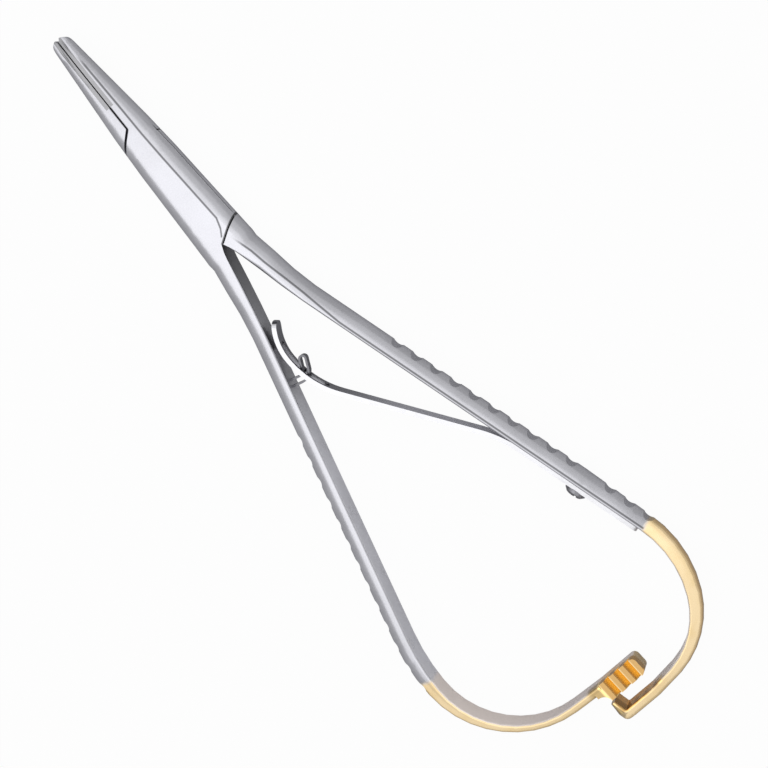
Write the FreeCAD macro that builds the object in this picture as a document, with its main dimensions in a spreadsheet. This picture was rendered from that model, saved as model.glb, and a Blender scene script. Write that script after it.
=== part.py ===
import FreeCAD, Part
import Sketcher
import math
import os

from FreeCAD import Placement, Rotation, Vector

# Mathieu needle pliers, 140 mm, with a box joint, a leaf spring and a ratchet at the tails.
# Frame: +Y runs along the closed jaws to the tip, +X is the side of the handle that carries the
# spring, +Z is up from the surface that the pliers lie on. The origin is on the pivot axis, on
# the rear face of the box. Left is -X and right is +X, seen from above.

SIZES = [
    ("forging_thickness", 5.4, "box and handles, from rear face to front face"),
    ("jaw_length", 29.6, "pivot to jaw tip"),
    ("tip_half_width", 1.6, "one jaw at its tip"),
    ("tip_thickness", 2.6, "one jaw at its tip, front to rear"),
    ("tip_corner", 1.55, "corner radius of the closed tip"),
    ("tip_bevel", 0.45, "lead-in between the gripping faces at the tip"),
    ("jaw_half_width", 3.3, "one jaw where it leaves the box"),
    ("jaw_thickness", 4.7, "one jaw where it leaves the box, front to rear"),
    ("cheek_half_width", 3.75, "half of the box where it reaches its full thickness"),
    ("cheek_place", 4.5, "pivot to where the box reaches its full thickness"),
    ("box_half_width", 3.95, "half of the box at the pivot"),
    ("rear_half_width", 4.5, "half of the box at its handle end"),
    ("box_front", 11.3, "pivot to the corner of the seam at the jaws"),
    ("box_rear", 12.2, "pivot to the crotch between the handles"),
    ("jaw_seam_angle", 40.0, "seam across the jaw end of the box, from X"),
    ("handle_seam_angle", 30.0, "seam across the handle end of the box, from X"),
    ("left_crease", 3.0, "break between the flat front and the left round side, in degrees"),
    ("right_crease", 9.0, "the same on the right side"),
    ("least_flat", 0.05, "least flat beside a rounded edge"),
    ("seam_gap", 0.2, "gap along the seams of the closed pliers"),
    ("tongue_thickness", 2.0, "the leaf of steel that passes through the box"),
    ("slot_clearance", 0.06, "running gap on each face of the tongue"),
    ("wall_clearance", 0.15, "gap between the tongue and the ends of its slot"),
    ("pin_diameter", 2.4, "pivot pin"),
    ("pin_clearance", 0.04, "running fit of the tongue on the pin, on the radius"),
    ("insert_length", 13.9, "carbide insert, from the jaw tip"),
    ("insert_thickness", 0.65, "carbide insert, from gripping face to seat"),
    ("crotch_angle", 28.0, "handles part at this angle at the crotch"),
    ("crotch_length", 2.44, "length of that parting"),
    ("left_root_angle", 11.4, "left handle from the axis just behind the box"),
    ("right_root_angle", 11.9, "right handle from the axis just behind the box"),
    ("root_length", 13.0, "gentle sweep behind the box"),
    ("root_width", 3.55, "handle across, just behind the box"),
    ("left_angle", 15.5, "left grip from the axis"),
    ("right_angle", 16.7, "right grip from the axis"),
    ("left_grip_length", 54.0, "straight left grip"),
    ("left_grip_width", 2.88, "left grip across, inner face to outer crest"),
    ("right_grip_width", 2.62, "right grip across, inner face to outer crest"),
    ("right_shoulder_width", 2.3, "right handle across where its tail starts"),
    ("right_taper", 12.0, "length over which the right grip narrows to that"),
    ("left_tail_width", 1.65, "left tail across, at its end"),
    ("right_tail_width", 1.95, "right tail across, at its end"),
    ("edge_round", 0.4, "rounding of the inner edges"),
    ("shank_bevel", 1.5, "wider rounding of the right shank behind the box"),
    ("left_shoulder", 9.3, "length of the left tail's opening bend"),
    ("left_bend_radius", 14.9, "main bend of the left tail"),
    ("left_bend_turn", 90.0, "turn of the left tail's main bend"),
    ("left_tail_end", 5.9, "straight end of the left tail, to the rack"),
    ("right_shoulder", 13.0, "length of the right tail's opening bend"),
    ("right_shoulder_turn", 42.6, "turn of the right tail's opening bend"),
    ("right_bend_radius", 13.6, "main bend of the right tail"),
    ("right_bend_turn", 51.3, "turn of the right tail's main bend"),
    ("right_tail_turn", 13.0, "turn of the right tail's last sweep, to the elbow"),
    ("elbow_turn", 75.0, "turn from the tail to the hook"),
    ("elbow_radius", 0.25, "inner radius of the elbow"),
    ("elbow_corner", 1.0, "outer radius of the elbow"),
    ("hook_length", 2.0, "arm of the hook"),
    ("hook_width", 1.3, "arm of the hook across, at its tip"),
    ("hook_gap", 0.3, "end of the hook to the side of the rack"),
    ("hook_place", 0.25, "root of the rack to the inner face of the hook's arm"),
    ("rack_length", 7.2, "rack, from its root to its free end"),
    ("rack_width", 3.2, "rack across"),
    ("rack_thickness", 4.6, "rack, front to rear"),
    ("rack_tilt", 3.0, "rack rises towards its free end"),
    ("tooth_pitch", 2.1, "ratchet teeth"),
    ("tooth_depth", 1.3, "ratchet teeth"),
    ("tooth_crest", 0.9, "flat top of a tooth"),
    ("rack_corner", 0.85, "corners of the rack's free end"),
    ("notch_pitch", 3.65, "thumb notches along the grips"),
    ("notch_width", 2.1, "one notch, along the grip"),
    ("notch_depth", 0.62, "one notch"),
    ("left_first_notch", 33.4, "crotch to the first notch, along the left handle"),
    ("right_first_notch", 31.4, "crotch to the first notch, along the right handle"),
    ("leaf_thickness", 0.75, "leaf spring"),
    ("leaf_width", 3.2, "leaf spring, front to rear"),
    ("leaf_seat_gap", 0.12, "gap between the leaf and the grip that it lies on"),
    ("leaf_overrun", 11.2, "leaf behind its screw"),
    ("leaf_seat", 10.6, "screw to where the leaf starts to leave the grip"),
    ("leaf_lift_radius", 20.8, "bend where the leaf leaves the grip"),
    ("leaf_lift_turn", 19.5, "turn of that bend"),
    ("leaf_clearance", 0.5, "leaf to the left grip, where they are parallel"),
    ("leaf_bend_radius", 15.9, "bend of the leaf towards the left grip"),
    ("leaf_curl_radius", 9.2, "curl of the leaf's free end"),
    ("leaf_curl_turn", 41.0, "turn of that curl"),
    ("leaf_tip_round", 1.2, "corners of the leaf's free end"),
    ("leaf_end_round", 0.8, "corners of the leaf's fixed end"),
    ("leaf_slot_width", 1.9, "slot in the leaf"),
    ("leaf_slot_length", 10.2, "slot in the leaf, along the axis"),
    ("leaf_slot_start", 3.2, "free end of the leaf to its slot, along the axis"),
    ("screw_place", 67.4, "crotch to the spring screw, along the right handle"),
    ("screw_head_diameter", 3.6, "spring screw"),
    ("screw_head_height", 0.95, "spring screw"),
    ("screw_head_edge", 0.5, "spring screw, height of the rim of its head"),
    ("screw_head_slope", 0.45, "spring screw, width of the slope round its head"),
    ("screw_diameter", 1.7, "spring screw, shank"),
    ("screw_clearance", 0.1, "hole of the leaf round the screw, on the radius"),
    ("screw_length", 1.9, "spring screw, depth in the handle"),
    ("screw_slot_width", 0.5, "driver slot across the head"),
    ("screw_slot_depth", 0.28, "driver slot across the head"),
    ("guide_width", 1.4, "spring guide, front to rear"),
    ("guide_strip", 0.35, "spring guide, thickness of its strip"),
    ("guide_bow", 1.4, "spring guide, width of its loop"),
    ("guide_place", 9.27, "free end of the leaf to the guide's root, along the axis"),
    ("guide_seat", 0.8, "spring guide, depth in the grip"),
    ("guide_reach", 1.44, "spring guide, from the grip to its bend"),
    ("guide_radius", 1.5, "spring guide, bend towards the jaws"),
    ("guide_turn", 79.0, "turn of that bend"),
    ("guide_rise", 1.67, "spring guide, from its bend to its rounded top"),
]

NOTCH_COUNT = 13
SKIPPED_NOTCH = 10
TOOTH_COUNT = 3


def fill_sheet(doc):
    """Writes every driving size in the sheet, one row each."""
    sheet = doc.addObject("Spreadsheet::Sheet", "Sizes")
    for row, (name, value, meaning) in enumerate(SIZES, start=1):
        sheet.set(f"A{row}", name)
        sheet.set(f"B{row}", str(value))
        sheet.set(f"C{row}", meaning)
        sheet.setAlias(f"B{row}", name)
    doc.recompute()
    return sheet


doc = FreeCAD.newDocument("needle_pliers")
sheet = fill_sheet(doc)


def size(name):
    """A driving size, read back from the sheet."""
    return float(sheet.get(name))


MIDDLE = size("forging_thickness") / 2
LEFT = -1
RIGHT = 1

# Two places along the object that are closer than this are the same place.
FIT = 0.01


# Sections and outlines


def heading_vector(side, heading):
    """Direction of travel towards the tails: heading is in degrees from -Y, outwards."""
    angle = math.radians(heading)
    return Vector(side * math.sin(angle), -math.cos(angle), 0)


def outward_vector(side, heading):
    """From the inner face to the outer crest, square to the direction of travel."""
    angle = math.radians(heading)
    return Vector(side * math.cos(angle), math.sin(angle), 0)


def arc(start, middle, end):
    """One edge on the circle through three points."""
    return Part.Arc(start, middle, end).toShape()


def front_flat(side, width, half):
    """Flat of the front face, beside a round side that meets it at the crease's angle."""
    crease = math.radians(size("left_crease") if side == LEFT else size("right_crease"))
    return width - half * (1 - math.sin(crease)) / math.cos(crease)


def half_section(side, point, outward, width, corner):
    """Half-round section of a handle: flat inner face with rounded edges, flat top, round outer side."""
    up = Vector(0, 0, 1)
    half = MIDDLE
    flat = max(front_flat(side, width, half), corner + size("least_flat"))
    cut = corner * (1 - math.sqrt(0.5))

    def at(across, height):
        return point + outward * across + up * (MIDDLE + height)

    edges = [
        Part.makeLine(at(0, corner - half), at(0, half - corner)),
        arc(at(0, half - corner), at(cut, half - cut), at(corner, half)),
        Part.makeLine(at(corner, half), at(flat, half)),
        arc(at(flat, half), at(width, 0), at(flat, -half)),
        Part.makeLine(at(flat, -half), at(corner, -half)),
        arc(at(corner, -half), at(cut, cut - half), at(0, corner - half)),
    ]
    return Part.Wire(edges)


def full_section(place, width, thickness):
    """Section across both halves of the closed head, at a place along the axis."""
    half = thickness / 2
    left_flat = front_flat(LEFT, width, half)
    right_flat = front_flat(RIGHT, width, half)

    def to_left(across, height):
        return Vector(-across, place, MIDDLE + height)

    def to_right(across, height):
        return Vector(across, place, MIDDLE + height)

    edges = [
        Part.makeLine(to_left(left_flat, half), to_right(right_flat, half)),
        arc(to_right(right_flat, half), to_right(width, 0), to_right(right_flat, -half)),
        Part.makeLine(to_right(right_flat, -half), to_left(left_flat, -half)),
        arc(to_left(left_flat, -half), to_left(width, 0), to_left(left_flat, half)),
    ]
    return Part.Wire(edges)


def loft(sections):
    """Solid through the sections, straight from each one to the next."""
    return Part.makeLoft(sections, True, True)


def prism(points, low, high):
    """Upright solid on a closed outline of straight edges."""
    corners = [Vector(x, y, low) for x, y in points]
    face = Part.Face(Part.makePolygon(corners + corners[:1]))
    return face.extrude(Vector(0, 0, high - low))


def blend(low, high, share):
    """Value between two others, with a soft start and end."""
    share = min(max(share, 0.0), 1.0)
    return low + (high - low) * share * share * (3 - 2 * share)


class Walk:
    """Path of an inner face, from the crotch to the tail, as sweeps of a length and a turn."""

    def __init__(self, side, start, heading):
        self.side = side
        self.point = start
        self.heading = heading
        self.travel = 0.0
        self.stations = [(self.point, self.heading, self.travel)]

    def sweep(self, length, turn=0.0, steps=1):
        """Goes on by a length while the heading turns, in equal steps."""
        for _ in range(steps):
            if turn == 0.0:
                self.point = self.point + heading_vector(self.side, self.heading) * (length / steps)
            else:
                radius = length / math.radians(turn)
                before = outward_vector(self.side, self.heading)
                self.heading += turn / steps
                after = outward_vector(self.side, self.heading)
                self.point = self.point - (after - before) * radius
            self.travel += length / steps
            self.stations.append((self.point, self.heading, self.travel))
        return self

    def at(self, travel):
        """Point and heading at a distance along the path, on a straight or gentle stretch."""
        for before, after in zip(self.stations, self.stations[1:]):
            if before[2] <= travel <= after[2]:
                share = (travel - before[2]) / (after[2] - before[2])
                point = before[0] + (after[0] - before[0]) * share
                heading = before[1] + (after[1] - before[1]) * share
                return point, heading
        raise ValueError("the distance is off the path")

    def at_place(self, place):
        """Point and heading where the path passes a place along Y."""
        for before, after in zip(self.stations, self.stations[1:]):
            if before[0].y >= place >= after[0].y:
                share = (before[0].y - place) / (before[0].y - after[0].y)
                return self.at(before[2] + (after[2] - before[2]) * share)
        raise ValueError("the place is off the path")


def arc_length(radius, turn):
    return radius * math.radians(turn)


# The two halves, as forged: a jaw and half of the box, then a handle and its tail


def head_solid():
    """Closed jaws and box as one block, from the tip to the crotch."""
    tip = size("jaw_length")
    front = size("box_front")
    rear = -size("box_rear")
    full = size("forging_thickness")
    jaw_middle = (tip + front) / 2
    jaw_middle_width = (size("tip_half_width") + size("jaw_half_width")) / 2
    jaw_middle_thickness = (size("tip_thickness") + size("jaw_thickness")) / 2
    rows = [
        (tip, size("tip_half_width"), size("tip_thickness")),
        (jaw_middle, jaw_middle_width, jaw_middle_thickness),
        (front, size("jaw_half_width"), size("jaw_thickness")),
        (size("cheek_place"), size("cheek_half_width"), full),
        (0.0, size("box_half_width"), full),
        (rear / 2, (size("box_half_width") + size("rear_half_width")) / 2, full),
        (rear, size("rear_half_width"), full),
    ]
    return loft([full_section(place, width, thickness) for place, width, thickness in rows])


def root_walk(side):
    """Inner face of a handle from the crotch to its straight grip."""
    walk = Walk(side, Vector(side * size("seam_gap") / 2, -size("box_rear"), 0), size("crotch_angle"))
    root_angle = size("left_root_angle") if side == LEFT else size("right_root_angle")
    angle = size("left_angle") if side == LEFT else size("right_angle")
    walk.sweep(size("crotch_length"), root_angle - size("crotch_angle"), 2)
    walk.sweep(size("root_length"), angle - root_angle, 3)
    return walk


def build_left_walk():
    """Inner face of the left handle and its tail, to the root of the rack."""
    walk = root_walk(LEFT)
    bend_turn = size("left_bend_turn")
    walk.sweep(size("left_grip_length"), 0.0)
    walk.sweep(size("left_shoulder"), -size("left_angle"), 3)
    walk.sweep(arc_length(size("left_bend_radius"), bend_turn), -bend_turn, 10)
    walk.sweep(size("left_tail_end"), 0.0)
    return walk


def right_tail(walk, grip, sweep):
    """The right grip and tail, with the lengths of the straight grip and of the last sweep."""
    bend_turn = size("right_bend_turn")
    walk.sweep(grip - size("right_taper"), 0.0)
    walk.sweep(size("right_taper"), 0.0)
    walk.sweep(size("right_shoulder"), -size("right_shoulder_turn"), 5)
    walk.sweep(arc_length(size("right_bend_radius"), bend_turn), -bend_turn, 6)
    walk.sweep(sweep, -size("right_tail_turn"), 2)
    return walk


def add_hook(walk):
    """The elbow, and the inner face of the arm that reaches back to the rack."""
    turn = size("elbow_turn")
    walk.sweep(arc_length(size("elbow_radius"), turn), -turn, 8)
    walk.sweep(size("hook_length"), 0.0)
    return walk


def hook_target():
    """Where the inner edge of the hook's end has to come, beside the rack."""
    origin, along, across = rack_frame(left_walk)
    return origin + along * size("hook_place") + across * (size("rack_width") + size("hook_gap"))


def right_lengths():
    """Lengths of the right grip and of its tail's last sweep that bring the hook to the rack."""
    ends = []
    for grip, sweep in ((1.0, 1.0), (2.0, 1.0), (1.0, 2.0)):
        ends.append(add_hook(right_tail(root_walk(RIGHT), grip, sweep)).point)
    start, further, longer = ends
    by_grip = further - start
    by_sweep = longer - start
    miss = hook_target() - start
    scale = by_grip.cross(by_sweep).z
    return 1.0 + miss.cross(by_sweep).z / scale, 1.0 + by_grip.cross(miss).z / scale


def grip_stretch(side):
    """Where a straight grip starts and ends, along its handle."""
    start = size("crotch_length") + size("root_length")
    return start, start + (size("left_grip_length") if side == LEFT else right_grip_length)


def handle_width(side, travel):
    """Width of a handle at a distance from the crotch."""
    root = size("crotch_length")
    grip, shoulder = grip_stretch(side)
    narrowing = size("left_shoulder") + size("left_tail_end") + size("left_bend_radius")
    grip_width = size("left_grip_width") if side == LEFT else size("right_grip_width")
    shoulder_width = grip_width if side == LEFT else size("right_shoulder_width")
    tail_width = size("left_tail_width") if side == LEFT else size("right_tail_width")
    if travel < root:
        start = size("rear_half_width") - size("seam_gap") / 2
        return blend(start, size("root_width"), travel / root)
    if travel < grip:
        return blend(size("root_width"), grip_width, (travel - root) / (grip - root))
    if travel < shoulder:
        late = 1 - (shoulder - travel) / size("right_taper")
        return grip_width + (shoulder_width - grip_width) * max(late, 0.0)
    return blend(shoulder_width, tail_width, (travel - shoulder) / narrowing)


def handle_section(side, point, heading, travel):
    """Section of a handle at a distance from the crotch, where it meets the square end of the box."""
    root = size("crotch_length") + size("root_length")
    squared = size("crotch_length") + size("root_length") / 2
    corner = size("edge_round")
    if side == RIGHT:
        corner = blend(size("shank_bevel"), size("edge_round"), travel / root)
    corner = blend(size("least_flat"), corner, travel / squared)
    outward = outward_vector(side, heading * min(1.0, travel / squared))
    return half_section(side, point, outward, handle_width(side, travel), corner)


def handle_solid(side, walk):
    """Handle as a half-round bar: its root behind the box, its straight grip and its curved tail."""
    return loft([handle_section(side, *station) for station in walk.stations])


def notch_cutters(side, walk):
    """Thumb notches along the outer crest of a grip."""
    depth = size("notch_depth")
    radius = (size("notch_width") ** 2 / 4 + depth ** 2) / (2 * depth)
    first = size("left_first_notch") if side == LEFT else size("right_first_notch")
    count = NOTCH_COUNT if side == LEFT else NOTCH_COUNT + 1
    cutters = []
    for number in range(count):
        if side == RIGHT and number == SKIPPED_NOTCH:
            continue
        travel = first + number * size("notch_pitch")
        point, heading = walk.at(travel)
        reach = handle_width(side, travel) - depth + radius
        centre = point + outward_vector(side, heading) * reach
        cutters.append(Part.makeCylinder(radius, size("forging_thickness"), centre))
    return cutters


# Outlines of the box joint


def seam_rise(across, angle):
    return across * math.tan(math.radians(size(angle)))


def jaw_zone(gap):
    """Left of the seam, ahead of the jaw end of the box."""
    far = 2 * size("box_half_width")
    top = size("jaw_length") + far
    corner = size("box_front") + gap
    side = corner - seam_rise(far, "jaw_seam_angle")
    return [(-gap / 2, top), (-gap / 2, corner), (-far, side), (-far, top)]


def handle_zone(gap):
    """Right of the axis, behind the handle end of the box."""
    far = 2 * size("box_half_width")
    bottom = -size("box_rear") - far
    corner = -size("box_rear") - gap
    side = corner + seam_rise(far, "handle_seam_angle")
    return [(gap / 2, bottom), (gap / 2, corner), (far, side), (far, bottom)]


def tongue_zone(gap):
    """The whole box, less the two corners where its cheeks join."""
    far = 2 * size("box_half_width")
    top = size("box_front")
    bottom = -size("box_rear")
    rise = seam_rise(far, "jaw_seam_angle")
    fall = seam_rise(far, "handle_seam_angle")
    half_seam = size("seam_gap") / 2
    past = size("tongue_thickness") / 2
    return [
        (-far, top - rise + past),
        (-half_seam, top + past),
        (-half_seam, top - gap),
        (far, top - rise - gap),
        (far, bottom - past),
        (half_seam, bottom - past),
        (half_seam, bottom + gap),
        (-far, bottom + fall + gap),
    ]


def slot_zone():
    """Where the box is open for the tongue."""
    far = 2 * size("box_half_width")
    top = size("box_front")
    bottom = -size("box_rear")
    rise = seam_rise(far, "jaw_seam_angle")
    fall = seam_rise(far, "handle_seam_angle")
    return [(-far, top), (0, top), (far, top - rise), (far, bottom), (0, bottom), (-far, bottom + fall)]


def tip_trim():
    """What the rounded tip and the lead-in between the gripping faces take away."""
    top = size("jaw_length")
    corner = size("tip_corner")
    half = size("tip_half_width")
    bevel = size("tip_bevel")
    height = size("forging_thickness")
    inset = half - corner
    block = Part.makeBox(4 * half, 2 * corner, height, Vector(-2 * half, top - corner, 0))
    keep = Part.makeBox(2 * inset, 2 * corner, height, Vector(-inset, top - 2 * corner, 0))
    for side in (LEFT, RIGHT):
        centre = Vector(side * inset, top - corner, 0)
        keep = keep.fuse(Part.makeCylinder(corner, height, centre))
    past = top + corner
    notch = prism([(-bevel, top), (0, top - 2 * bevel), (bevel, top), (bevel, past), (-bevel, past)], 0, height)
    return block.cut(keep).fuse(notch)


def insert_zone(side):
    """Seat of a carbide insert, from the seam to its back."""
    near = side * size("seam_gap") / 2
    back = side * (size("seam_gap") / 2 + size("insert_thickness"))
    top = size("jaw_length") + size("tip_corner")
    rear = size("jaw_length") - size("insert_length")
    return prism([(near, rear), (back, rear), (back, top), (near, top)], 0, 2 * MIDDLE)


# Ratchet


def rack_frame(walk):
    """Origin of the rack at the end of the left tail, and its two directions."""
    end, _heading, _travel = walk.stations[-1]
    tilt = math.radians(size("rack_tilt"))
    along = Vector(math.cos(tilt), math.sin(tilt), 0)
    across = Vector(math.sin(tilt), -math.cos(tilt), 0)
    return end, along, across


def rack_solid(walk):
    """Toothed bar: each tooth has a flat crest, a ramp and an upright catch face."""
    origin, along, across = rack_frame(walk)
    front = MIDDLE + size("rack_thickness") / 2
    rear = MIDDLE - size("rack_thickness") / 2
    pitch = size("tooth_pitch")
    root = size("rack_width") - size("left_tail_width")
    profile = [(-root, rear), (-root, front)]
    for number in range(TOOTH_COUNT):
        start = number * pitch
        profile.append((start + size("tooth_crest"), front))
        profile.append((start + pitch, front - size("tooth_depth")))
        profile.append((start + pitch, front))
    profile.append((size("rack_length"), front))
    profile.append((size("rack_length"), rear))
    corners = [origin + along * reach + Vector(0, 0, height) for reach, height in profile]
    face = Part.Face(Part.makePolygon(corners + corners[:1]))
    bar = face.extrude(across * size("rack_width"))
    fillet = Part.makeCylinder(root, 2 * MIDDLE, origin - along * root + across * size("rack_width"))
    bar = bar.cut(fillet)
    ends = []
    for edge in bar.Edges:
        middle = edge.CenterOfMass - origin
        upright = abs(edge.tangentAt(edge.FirstParameter).z) > 1 - FIT
        if upright and middle.dot(along) > size("rack_length") - FIT:
            ends.append(edge)
    return bar.makeFillet(size("rack_corner"), ends)


def elbow_width(off_middle):
    """Width of the elbow at an angle from its middle, in degrees: two flats and a rounded corner."""
    half_turn = math.radians(size("elbow_turn")) / 2
    off = math.radians(abs(off_middle))
    inner = size("elbow_radius")
    flat = size("right_tail_width") + inner
    corner = size("elbow_corner")
    centre = (flat - corner) / math.cos(half_turn)
    meets = half_turn - math.atan(centre * math.sin(half_turn) / flat)
    if off > meets:
        return flat / math.cos(half_turn - off) - inner
    return centre * math.cos(off) + math.sqrt(corner ** 2 - (centre * math.sin(off)) ** 2) - inner


def hook_solid(walk):
    """Elbow at the end of the right tail, and the arm that reaches back to the rack."""
    start = len(walk.stations) - 1
    middle = walk.heading - size("elbow_turn") / 2
    add_hook(walk)
    bend_end = walk.travel - size("hook_length")
    sections = []
    for point, heading, travel in walk.stations[start:]:
        width = elbow_width(heading - middle)
        if travel > bend_end + FIT:
            width = size("hook_width")
        outward = outward_vector(RIGHT, heading)
        sections.append(half_section(RIGHT, point, outward, width, size("edge_round")))
    return loft(sections)


# Assembly of the two branches


def part_feature(name, shape):
    """Sub-part whose shape is worked out above, in the part's own frame."""
    feature = doc.addObject("Part::Feature", name)
    feature.Label = name
    feature.Shape = shape
    feature.Placement = Placement()
    return feature


left_walk = build_left_walk()
right_grip_length, right_tail_end = right_lengths()
right_walk = right_tail(root_walk(RIGHT), right_grip_length, right_tail_end)


def build_branches():
    """Box branch: right jaw, box and left handle. Tongue branch: left jaw, tongue, right handle."""
    gap = size("seam_gap")
    height = 2 * MIDDLE
    layer = size("tongue_thickness") / 2
    slot = layer + size("slot_clearance")
    head = head_solid().cut(tip_trim())
    inserts = {side: head.common(insert_zone(side)) for side in (LEFT, RIGHT)}

    left_handle = handle_solid(LEFT, left_walk)
    right_handle = handle_solid(RIGHT, right_walk)
    left_handle = left_handle.cut(notch_cutters(LEFT, left_walk))
    right_handle = right_handle.cut(notch_cutters(RIGHT, right_walk))
    hook = hook_solid(right_walk)

    box = head.cut(prism(jaw_zone(-gap), -gap, height + gap))
    box = box.cut(prism(handle_zone(0), -gap, height + gap))
    box = box.cut(prism(slot_zone(), MIDDLE - slot, MIDDLE + slot))
    box = box.cut(insert_zone(RIGHT))
    box = box.cut(Part.makeCylinder(size("pin_diameter") / 2, height))
    box = box.fuse([left_handle, rack_solid(left_walk)])
    strip = size("guide_width") / 2
    outer = guide_path.prism(size("guide_bow") / 2, MIDDLE - strip, MIDDLE + strip, True)
    inner = guide_path.prism(size("guide_bow") / 2 - size("guide_strip"), MIDDLE - strip, MIDDLE + strip, True)
    box = box.cut(outer.cut(inner))

    tongue = head.common(prism(jaw_zone(gap), -gap, height + gap))
    tongue = tongue.cut(insert_zone(LEFT))
    shank = head.common(prism(handle_zone(gap), -gap, height + gap))
    leaf = head.common(prism(tongue_zone(size("wall_clearance")), MIDDLE - layer, MIDDLE + layer))
    tongue = tongue.fuse([leaf, shank, right_handle, hook])
    bore = size("pin_diameter") / 2 + size("pin_clearance")
    tongue = tongue.cut(Part.makeCylinder(bore, height))
    screw = screw_placement()
    depth = screw_depth()
    hole = Part.makeCylinder(size("screw_diameter") / 2, depth)
    hole.Placement = Placement(screw.multVec(Vector(0, 0, -depth)), screw.Rotation)
    tongue = tongue.cut(hole)
    return box, tongue, inserts


# Spring, screw and guide


def turned(direction, degrees):
    """A direction turned about Z, left-handed turns being positive."""
    return Rotation(Vector(0, 0, 1), degrees).multVec(direction)


class Ribbon:
    """Outline of a strip: a centre line of straights and bends, offset to both sides."""

    def __init__(self, start, direction, sweeps):
        self.start = start
        self.direction = direction
        self.sweeps = sweeps

    def side_line(self, offset):
        """Edges at an offset to the left of travel, and the two end points."""
        point = self.start
        direction = self.direction
        left = turned(direction, 90)
        edges = []
        first = point + left * offset
        last = first
        for length, turn in self.sweeps:
            if turn == 0.0:
                point = point + direction * length
                edges.append(Part.LineSegment(last, point + left * offset))
            else:
                radius = length / math.radians(turn)
                centre = point + left * radius
                middle = centre + turned(last - centre, turn / 2)
                end = centre + turned(last - centre, turn)
                edges.append(Part.Arc(last, middle, end))
                point = centre + turned(point - centre, turn)
                direction = turned(direction, turn)
                left = turned(direction, 90)
            last = point + left * offset
        return edges, first, last, direction

    def outline(self, half, rounded_end=False):
        """Closed outline, with a square or a half-round far end."""
        left_edges, left_first, left_last, direction = self.side_line(half)
        right_edges, right_first, right_last, direction = self.side_line(-half)
        outline = list(left_edges)
        if rounded_end:
            top = (left_last + right_last) / 2 + direction * half
            outline.append(Part.Arc(left_last, top, right_last))
        else:
            outline.append(Part.LineSegment(left_last, right_last))
        outline.extend(right_edges)
        outline.append(Part.LineSegment(right_first, left_first))
        return outline

    def prism(self, half, low, high, rounded_end=False):
        """Upright solid on the outline."""
        edges = [item.toShape() for item in self.outline(half, rounded_end)]
        wire = Part.Wire(Part.__sortEdges__(edges))
        wire.translate(Vector(0, 0, low))
        return Part.Face(wire).extrude(Vector(0, 0, high - low))


def bend(radius_name, degrees):
    """Sweep along a bend of a named radius."""
    return (arc_length(size(radius_name), abs(degrees)), degrees)


def leaf_run():
    """Straight stretch of the leaf across the gap, which brings it beside the left grip."""
    grip_start, heading = left_walk.at(grip_stretch(LEFT)[0])
    off_grip = outward_vector(LEFT, heading) * -1
    slant = size("right_angle") + size("leaf_lift_turn")
    start, forward = leaf_start()
    reach = Ribbon(start, forward, [
        (size("leaf_overrun") + size("leaf_seat"), 0.0),
        bend("leaf_lift_radius", size("leaf_lift_turn")),
    ])
    _edges, _first, lifted, way = reach.side_line(0.0)
    nearest = Ribbon(lifted, way, [
        bend("leaf_bend_radius", -slant),
        bend("leaf_curl_radius", -size("left_angle")),
    ])
    _edges, _first, closest, _way = nearest.side_line(0.0)
    room = (closest - grip_start).dot(off_grip) - size("leaf_thickness") / 2 - size("leaf_clearance")
    return -room / way.dot(off_grip)


def leaf_start():
    """Middle of the leaf's fixed end, and its direction towards the jaws."""
    point, heading = right_walk.at(size("screw_place") + size("leaf_overrun"))
    off_grip = size("leaf_thickness") / 2 + size("leaf_seat_gap")
    return point - outward_vector(RIGHT, heading) * off_grip, heading_vector(RIGHT, heading) * -1


def leaf_ribbon():
    """Leaf from its fixed end on the right grip, across the gap, to its curled free end."""
    start, forward = leaf_start()
    slant = size("right_angle") + size("leaf_lift_turn")
    return Ribbon(start, forward, [
        (size("leaf_overrun") + size("leaf_seat"), 0.0),
        bend("leaf_lift_radius", size("leaf_lift_turn")),
        (leaf_run(), 0.0),
        bend("leaf_bend_radius", -slant),
        bend("leaf_curl_radius", -size("leaf_curl_turn")),
    ])


def guide_ribbon():
    """Finger that the guide's strip wraps round: from the left grip, through the leaf, to the jaws."""
    _edges, _fixed, free_end, _way = leaf_path.side_line(0.0)
    point, heading = left_walk.at_place(free_end.y - size("guide_place"))
    inward = outward_vector(LEFT, heading) * -1
    return Ribbon(point - inward * size("guide_seat"), inward, [
        (size("guide_seat") + size("guide_reach"), 0.0),
        bend("guide_radius", size("guide_turn")),
        (size("guide_rise"), 0.0),
    ])


def origin_plane(body, role):
    return next(item for item in body.Origin.OriginFeatures if item.Role == role)


def new_body(name, placement=None):
    body = doc.addObject("PartDesign::Body", name)
    body.Label = name
    if placement:
        body.Placement = placement
    return body


def new_sketch(body, name, role, geometry, lift=None):
    """Sketch on one of the body's own planes, lifted off it by an expression."""
    sketch = body.newObject("Sketcher::SketchObject", name)
    sketch.AttachmentSupport = [(origin_plane(body, role), "")]
    sketch.MapMode = "FlatFace"
    if lift:
        sketch.setExpression("AttachmentOffset.Base.z", lift)
    for item in geometry:
        sketch.addGeometry(item, False)
    return sketch


def new_pad(body, name, sketch, length):
    pad = body.newObject("PartDesign::Pad", name)
    pad.Profile = sketch
    pad.setExpression("Length", length)
    doc.recompute()
    return pad


def new_pocket(body, name, sketch, length):
    pocket = body.newObject("PartDesign::Pocket", name)
    pocket.Profile = sketch
    pocket.setExpression("Length", length)
    doc.recompute()
    return pocket


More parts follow.
